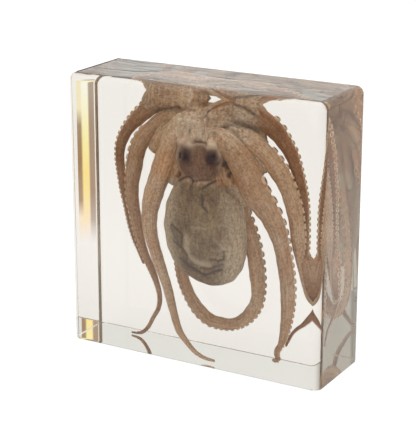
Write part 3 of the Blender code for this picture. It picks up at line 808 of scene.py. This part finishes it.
# The mantle's flanks are paler: partly the skin's own colour, partly a painted rim of light.
mantle = add(tree, "Mix", [(0, tones["flank_and_rim_light"]), (6, dorsal), (7, "#f8e4c6")], **MIXED)
base = add(tree, "Mix", [(0, tones["mantle"]), (6, web), (7, mantle)], **MIXED)
base = add(tree, "Mix", [(0, tones["head"]), (6, base), (7, "#9d755b")], **MIXED)
flecks = add(tree, "ValToRGB", [("Fac", mottle)], [(0.4, "#93877a"), (0.54, "#ffffff")])
base = add(tree, "Mix", [(0, 0.5), (6, base), (7, flecks)], **MULTIPLIED)
hairs = add(tree, "ValToRGB", [("Fac", hairlines)], [(0.4, "#b0a394"), (0.6, "#ffffff")])
base = add(tree, "Mix", [(0, 0.4), (6, base), (7, hairs)], **MULTIPLIED)
dark = add(tree, "MapRange", [("Value", tones["crease"])], From_Min=0.0, From_Max=-1.0)
pale = add(tree, "MapRange", [("Value", tones["crease"])], From_Min=0.0, From_Max=2.4)
# Painted shade in creases and valleys, painted highlights on ridges and brows, and the dark skin
# over each eye.
for share, colour in (
        (dark, "#5c4636"), (pale, "#f0dcc0"), (tones["brow"], "#f6dcc0"), (tones["eye"], "#3a2022")):
    base = add(tree, "Mix", [(0, share), (6, base), (7, colour)], **MIXED)
net_height = add(tree, "MapRange", [("Value", net)], From_Max=0.12)
wrinkles = add(tree, "Bump", [("Height", net_height)], Strength=0.25, Distance=0.25 * MM)
grain = add(
    tree, "Bump", [("Height", mottle), ("Normal", wrinkles)], Strength=0.5, Distance=0.5 * MM)
feed(shader, ("Base Color", base), ("Normal", grain))
body.data.materials.append(body_skin)
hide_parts("octopus")
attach(body, "root")


# Each eye is a dark ball that the fixative has clouded, with a long level slit for a pupil.
# It sits in its lid, so little more than the front of it shows.
eye_gel, tree, shader = fresh_material("clouded octopus eye", Roughness=0.18, IOR=1.38)
place = add(tree, "TexCoord").outputs["Object"]
pupil = add(tree, "Attribute", attribute_name="pupil").outputs["Fac"]
cloud = add(tree, "TexNoise", [("Vector", place)], Scale=scale_of(2), Detail=3.0)
iris = add(tree, "ValToRGB", [("Fac", cloud)], [(0.35, "#3f2b35"), (0.65, "#5c464e")])
base = add(tree, "Mix", [(0, pupil), (6, iris), (7, "#120c0e")], **MIXED)
feed(shader, ("Base Color", base))
PUPIL_FROM = 2.6             # how far forward of the ball's middle the slit is cut, in mm
PUPIL_HALF_WIDTH = 0.75
PUPIL_DEPTH = 0.25
for side, eye in zip(("left", "right"), eye_places):
    outward = eye_outward(eye)
    ball = start(
        bpy.ops.mesh.primitive_uv_sphere_add, segments=32, ring_count=24, radius=3.6 * MM,
        location=(eye + outward * 0.4) * MM, rotation=outward.to_track_quat("Z", "Y").to_euler())
    ball.name = "octopus_eye_" + side
    bpy.ops.object.mode_set(mode="EDIT")
    bpy.ops.mesh.select_all(action="DESELECT")
    ball_shape = bmesh.from_edit_mesh(ball.data)
    for face in ball_shape.faces:
        middle = face.calc_center_median() / MM
        face.select = middle.z > PUPIL_FROM and abs(middle.y) < PUPIL_HALF_WIDTH
    bmesh.update_edit_mesh(ball.data)
    bpy.ops.mesh.extrude_region_shrink_fatten(
        TRANSFORM_OT_shrink_fatten={"value": -PUPIL_DEPTH * MM})
    ball_shape = bmesh.from_edit_mesh(ball.data)
    picked = [vertex.index for vertex in ball_shape.verts if vertex.select]
    bpy.ops.object.mode_set(mode="OBJECT")
    in_pupil = np.zeros(len(ball.data.vertices))
    in_pupil[picked] = 1.0
    mark(ball.data, "pupil", in_pupil)
    ball.data.shade_smooth()
    bpy.ops.object.transform_apply(location=True, rotation=True, scale=True)
    ball.data.materials.append(eye_gel)
    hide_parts("octopus")
    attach(ball, "root")


# The beak is two hooked plates of dark horn, like a parrot's, in the mouth where the arms meet.
# It lies sunk in the web, so that little more than its tip shows in the gap behind the crown.
beak_place = Vector((6, 4, 145.5))
beak = start(
    bpy.ops.mesh.primitive_cone_add, vertices=20, radius1=2.4 * MM, radius2=0.3 * MM,
    depth=4.6 * MM, location=(beak_place + Vector((0, 0, 0.8))) * MM)
beak.name = "octopus_beak"
bpy.ops.object.mode_set(mode="EDIT")
bpy.ops.mesh.select_all(action="SELECT")
bpy.ops.mesh.subdivide(number_cuts=2, smoothness=0.2)
bpy.ops.object.mode_set(mode="OBJECT")
bpy.ops.object.transform_apply(location=True, rotation=True, scale=True)
BEAK_HOOK = 0.12             # how strongly the tip curves over
BEAK_TAPER = 0.02            # the share of its depth that it loses in each mm
for vertex in beak.data.vertices:
    rise = max(vertex.co.z / MM - beak_place.z, 0)
    vertex.co.x += BEAK_HOOK * rise * rise * MM
    vertex.co.y *= 1 - BEAK_TAPER * rise
beak.data.shade_smooth()
horn, tree, shader = fresh_material("beak horn", Roughness=0.25, IOR=1.54)
place = add(tree, "TexCoord").outputs["Object"]
growth = add(tree, "TexNoise", [("Vector", place)], Scale=scale_of(3.33), Detail=4.0)
base = add(tree, "ValToRGB", [("Fac", growth)], [(0.35, "#1c120d"), (0.65, "#4a2f1d")])
feed(shader, ("Base Color", base))
beak.data.materials.append(horn)
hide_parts("octopus")
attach(beak, "root")


# The block is clear polyester resin, cast in one piece round the animal, sawn square, and ground
# and polished on every face with its edges rounded over. It has a faint warm grey body colour.
block_size = Vector(solids_high) - Vector(solids_low)
BLOCK_LEFT_EDGE = 3.2 * MM   # radius of the two upright edges on the left,
BLOCK_EDGE = 4.6 * MM        # of the two on the right and the four round the top,
BLOCK_FRONT_FOOT = 1.1 * MM  # of the front edge of the face that it stands on
BLOCK_BASE_EDGE = 0.5 * MM   # and of the other edges of that face
block = start(bpy.ops.mesh.primitive_cube_add, size=1, location=(0, 0, block_size.z / 2))
block.name = "resin_block"
block.scale = block_size
bpy.ops.object.transform_apply(location=True, rotation=True, scale=True)
bpy.ops.object.mode_set(mode="EDIT")
bpy.ops.mesh.select_mode(type="EDGE")
for edges, radius, segments in (
        ("left", BLOCK_LEFT_EDGE, 10), ("other", BLOCK_EDGE, 12),
        ("base front", BLOCK_FRONT_FOOT, 4), ("base", BLOCK_BASE_EDGE, 3)):
    bpy.ops.mesh.select_all(action="DESELECT")
    block_shape = bmesh.from_edit_mesh(block.data)
    for edge in block_shape.edges:
        first, last = (vertex.co for vertex in edge.verts)
        on_base = max(first.z, last.z) < 0.01 * MM
        is_sharp = edge.calc_face_angle() > 1
        if edges == "left":
            edge.select = abs(first.z - last.z) > MM and first.x < 0
        elif edges == "base front":
            crosses = abs(first.x - last.x) > block_size.x / 2
            edge.select = on_base and crosses and first.y < 0
        elif edges == "base":
            edge.select = on_base and is_sharp
        else:
            edge.select = not on_base and is_sharp
    bmesh.update_edit_mesh(block.data)
    bpy.ops.mesh.bevel(offset=radius, segments=segments, profile=0.5, affect="EDGES")
bpy.ops.object.mode_set(mode="OBJECT")
block.data.shade_smooth()
even = block.modifiers.new("Even", "WEIGHTED_NORMAL")
even.keep_sharp = False
bpy.ops.object.modifier_apply(modifier=even.name)

# Polishing by hand leaves soft lap marks on the top face, which show as swirls. Their size is in mm.
LAP_WIDTH = 11.1
LAP_LENGTH = 37
resin, tree, shader = fresh_material(
    "cast polyester resin, polished", Roughness=0.0, IOR=1.5, Transmission_Weight=1.0,
    Base_Color="#ffffff")
place = add(tree, "TexCoord").outputs["Object"]
height = add(tree, "SeparateXYZ", [("Vector", place)]).outputs["Z"]
on_top = add(
    tree, "MapRange", [("Value", height)], From_Min=block_size.z - 1.5 * MM,
    From_Max=block_size.z - 0.3 * MM)
along = add(tree, "Mapping", [("Vector", place)], Scale=(LAP_WIDTH / LAP_LENGTH, 1, 1))
waves = add(
    tree, "TexNoise", [("Vector", along)], Scale=scale_of(LAP_WIDTH), Detail=1.5, Distortion=1.6)
lap_marks = add(tree, "Bump", [("Strength", on_top), ("Height", waves)], Distance=0.5 * MM)
feed(shader, ("Normal", lap_marks))
body_colour = add(tree, "VolumeAbsorption", Color="#d7d1c5", Density=14.0)
feed(tree.nodes["Material Output"], ("Volume", body_colour))
block.data.materials.append(resin)
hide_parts("resin_front_half", "resin_back_half")
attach(block, "root")


# The block stands on a wide sheet of white opal acrylic, cast flat and lit from beneath as a light
# table is, so that the block throws no shadow.
floor = start(bpy.ops.mesh.primitive_plane_add, size=14, location=(0, 0, -0.2 * MM))
floor.name = "floor"
opal = fresh_material(
    "opal acrylic sheet", Roughness=0.9, Base_Color="#7c7c7c", Specular_IOR_Level=0.1,
    Emission_Color="#ffffff", Emission_Strength=0.86)[0]
floor.data.materials.append(opal)


# A narrow strip stands behind the block and glows gold and mauve, painted light that shows only
# through the resin, where the left side mirrors it as a coloured line. Its low end fades away before
# the floor.
STRIP_AWAY = 150 * MM         # from where the mirrored sight line leaves the block's back
STRIP_LEFT = -6 * MM
STRIP_RIGHT = 8.9 * MM
STRIP_TOP = 122 * MM
strip_turn = math.radians(34.6)  # that sight line's angle from the block's depth
strip_outward = Vector((math.sin(strip_turn), math.cos(strip_turn), 0))
strip_across = Vector((strip_outward.y, -strip_outward.x, 0))
strip_middle = Vector((-75 * MM, block_size.y / 2, 0)) + STRIP_AWAY * strip_outward
strip = start(bpy.ops.mesh.primitive_plane_add, size=1)
strip.name = "gold_strip"
for vertex in strip.data.vertices:
    aside = STRIP_LEFT if vertex.co.x < 0 else STRIP_RIGHT
    up = 0 if vertex.co.y < 0 else STRIP_TOP
    vertex.co = strip_middle + strip_across * aside + Vector((0, 0, up))
strip_glow, tree, shader = fresh_material("glowing gold and mauve strip")
strip.data.materials.append(strip_glow)
bands = add(tree, "SeparateXYZ", [("Vector", add(tree, "TexCoord").outputs["UV"])])
across, climb = bands.outputs["X"], bands.outputs["Y"]
gold = add(
    tree, "ValToRGB", [("Fac", climb)],
    [(0.02, "#fbe6d6"), (0.12, "#fbe8cc"), (0.28, "#fde8a4"), (0.4, "#fde490"), (0.56, "#fdf0a8"),
     (0.68, "#fdf6bc"), (0.82, "#fcfade"), (0.94, "#fcfcf2")])
mauve = add(
    tree, "ValToRGB", [("Fac", climb)],
    [(0.02, "#d0c4bc"), (0.16, "#bcaca2"), (0.3, "#aa907e"), (0.7, "#a8907c"), (0.96, "#b4a494")])
brown = add(
    tree, "ValToRGB", [("Fac", climb)],
    [(0.16, "#fbe8cc"), (0.26, "#b09276"), (0.5, "#a0805c"), (0.7, "#ab9478"), (0.8, "#f6ecc8")])
tint = mauve
for low, high, hue in ((0.46, 0.53, gold), (0.76, 0.84, brown)):
    edge = add(tree, "ValToRGB", [("Fac", across)], [(low, "#000000"), (high, "#ffffff")])
    tint = add(tree, "Mix", [(0, edge), (6, tint), (7, hue)], **MIXED)
# The strip glows by itself: painted light, not lit by the lamps.
glow = add(tree, "Emission", [("Color", tint)], Strength=1.3)
clear = add(tree, "BsdfTransparent")
low_end = add(tree, "MapRange", [("Value", climb)], From_Min=0.0, From_Max=0.14)
faded = add(tree, "MixShader", [(0, low_end), (1, clear), (2, glow)])
feed(tree.nodes["Material Output"], ("Surface", faded))
strip.visible_camera = False
strip.visible_diffuse = False
strip.visible_shadow = False


# Black cloth on the table in front and on the right keeps the lit table out of the block's polished
# faces, as a photographer does. It shows in reflections alone, and its near edges fade away.
CLOTH_SIZE = 3               # m
for name, middle, way, near, far, cover in (
        # way is the axis along which it fades in, from near to far in m. cover is then its share.
        ("black_cloth_front", (0, -1.66), "Y", -0.17, -0.4, 0.75),
        ("black_cloth_right", (1.62, 0.9), "X", 0.13, 0.3, 0.3)):
    cloth = start(bpy.ops.mesh.primitive_plane_add, size=CLOTH_SIZE, location=(*middle, 1 * MM))
    cloth.name = name
    bpy.ops.object.transform_apply(location=True)
    weave, tree, shader = fresh_material(
        "black cotton cloth", Roughness=1.0, Base_Color="#0c0c0c", Specular_IOR_Level=0.0)
    cloth.data.materials.append(weave)
    place = add(tree, "TexCoord").outputs["Object"]
    reach = add(tree, "SeparateXYZ", [("Vector", place)]).outputs[way]
    fade = add(
        tree, "MapRange", [("Value", reach)], From_Min=near, From_Max=far, To_Min=0.0, To_Max=cover)
    feed(shader, ("Alpha", fade))
    cloth.visible_camera = False
    cloth.visible_diffuse = False
    cloth.visible_transmission = False
    cloth.visible_shadow = False


# Two soft round lights hang over the table in an even pale sky. The sky is white overhead, paler
# behind the block than in front, and dark at both sides, as where grey flags stand.
def soft_light(name, place, aim, size, power):
    """A round light of a size in m and a power in W, hung at a place in m and turned to its aim."""
    bpy.ops.object.light_add(type="AREA", location=place)
    light = bpy.context.object
    light.name = name
    light.data.shape = "DISK"
    light.data.size = size
    light.data.energy = power
    light.rotation_euler = (Vector(aim) - Vector(place)).to_track_quat("-Z", "Y").to_euler()


soft_light("top", (0.1, 1.0, 1.8), (0.0, 0.9, 0), 2.2, 8)
soft_light("front top", (0.0, -0.25, 1.5), (0, -0.15, 0), 1.2, 4.5)
sky = bpy.data.worlds.new("sky")
bpy.context.scene.world = sky
sky.use_nodes = True
tree = sky.node_tree
way = add(tree, "SeparateXYZ", [("Vector", add(tree, "TexCoord").outputs["Generated"])])
depth = add(tree, "MapRange", [("Value", way.outputs["Y"])], From_Min=-0.6, From_Max=0.6)
sideways = add(tree, "Math", [("Value", way.outputs["X"])], operation="ABSOLUTE")
flags = add(tree, "MapRange", [("Value", sideways)], From_Min=0.6, From_Max=0.95)
overhead = add(tree, "MapRange", [("Value", way.outputs["Z"])], From_Min=0.35, From_Max=0.7)
tone = add(tree, "ValToRGB", [("Fac", depth)], [(0.0, "#a9a8a4"), (1.0, "#cfd1d0")])
tone = add(tree, "Mix", [(0, flags), (6, tone), (7, "#94908a")], **MIXED)
tone = add(tree, "Mix", [(0, overhead), (6, tone), (7, "#f7f7f5")], **MIXED)
feed(tree.nodes["Background"], ("Color", tone), ("Strength", 1.5))

# Light crosses many faces on its way through the block, so its paths are let run long.
scene = bpy.context.scene
scene.view_settings.view_transform = "Standard"
scene.cycles.max_bounces = 24
scene.cycles.transmission_bounces = 24
scene.cycles.glossy_bounces = 12
scene.cycles.diffuse_bounces = 5
